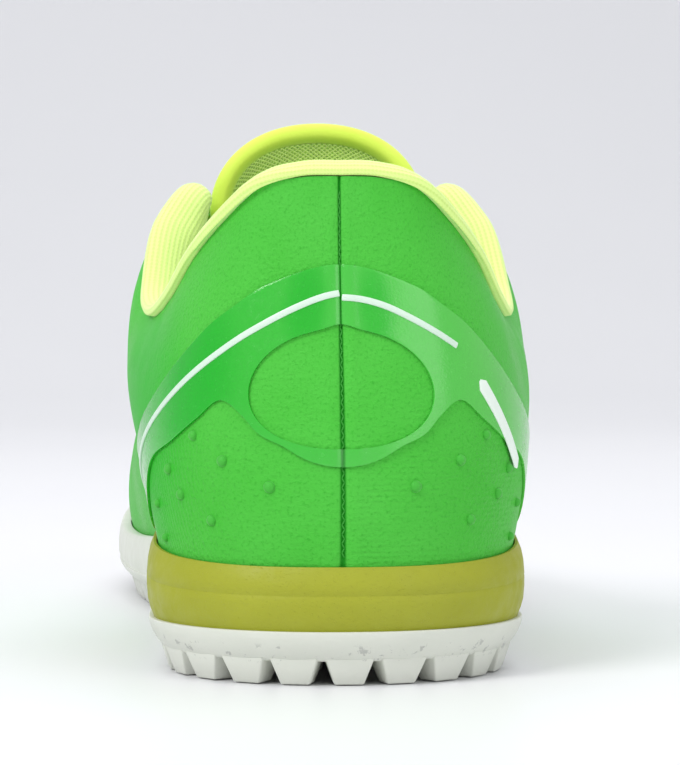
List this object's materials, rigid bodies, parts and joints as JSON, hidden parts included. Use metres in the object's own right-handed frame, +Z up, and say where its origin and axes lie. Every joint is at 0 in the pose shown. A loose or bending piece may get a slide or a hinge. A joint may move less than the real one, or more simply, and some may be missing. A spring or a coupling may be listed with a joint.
{
  "type": "futsal shoe",
  "caption": "Low right futsal shoe with a lugged turf sole, moulded heel film, padded knit collar, lace throat and soft tongue.",
  "frame": {"origin": "centre of the shoe's box, on the floor that the lugs stand on", "axes": "+Z up, +Y towards the toe, +X towards the outer side of the right foot"},
  "size_m": [0.0964, 0.2904, 0.1105],
  "materials": {
    "white_rubber": "satin moulded rubber",
    "olive_foam": "matte moulded foam",
    "sockliner": "brushed knit over foam",
    "green_microfibre": "soft matte microfibre",
    "green_film": "satin film with pressed edges",
    "yellow_knit": "ribbed knit over padding",
    "tongue_fabric": "spacer mesh with a smooth rim",
    "lace": "flat woven lace"
  },
  "bodies": {
    "root": {"outsole": "white_rubber", "midsole": "olive_foam", "insole": "sockliner", "upper": "green_microfibre", "eyestay": "green_microfibre", "heel_film": "green_film", "collar_lining": "yellow_knit", "tongue": "tongue_fabric", "lace_bar": "lace", "lace_crossing_1": "lace", "lace_crossing_2": "lace", "lace_crossing_3": "lace", "lace_crossing_4": "lace", "lace_crossing_5": "lace"}
  },
  "joints": []
}
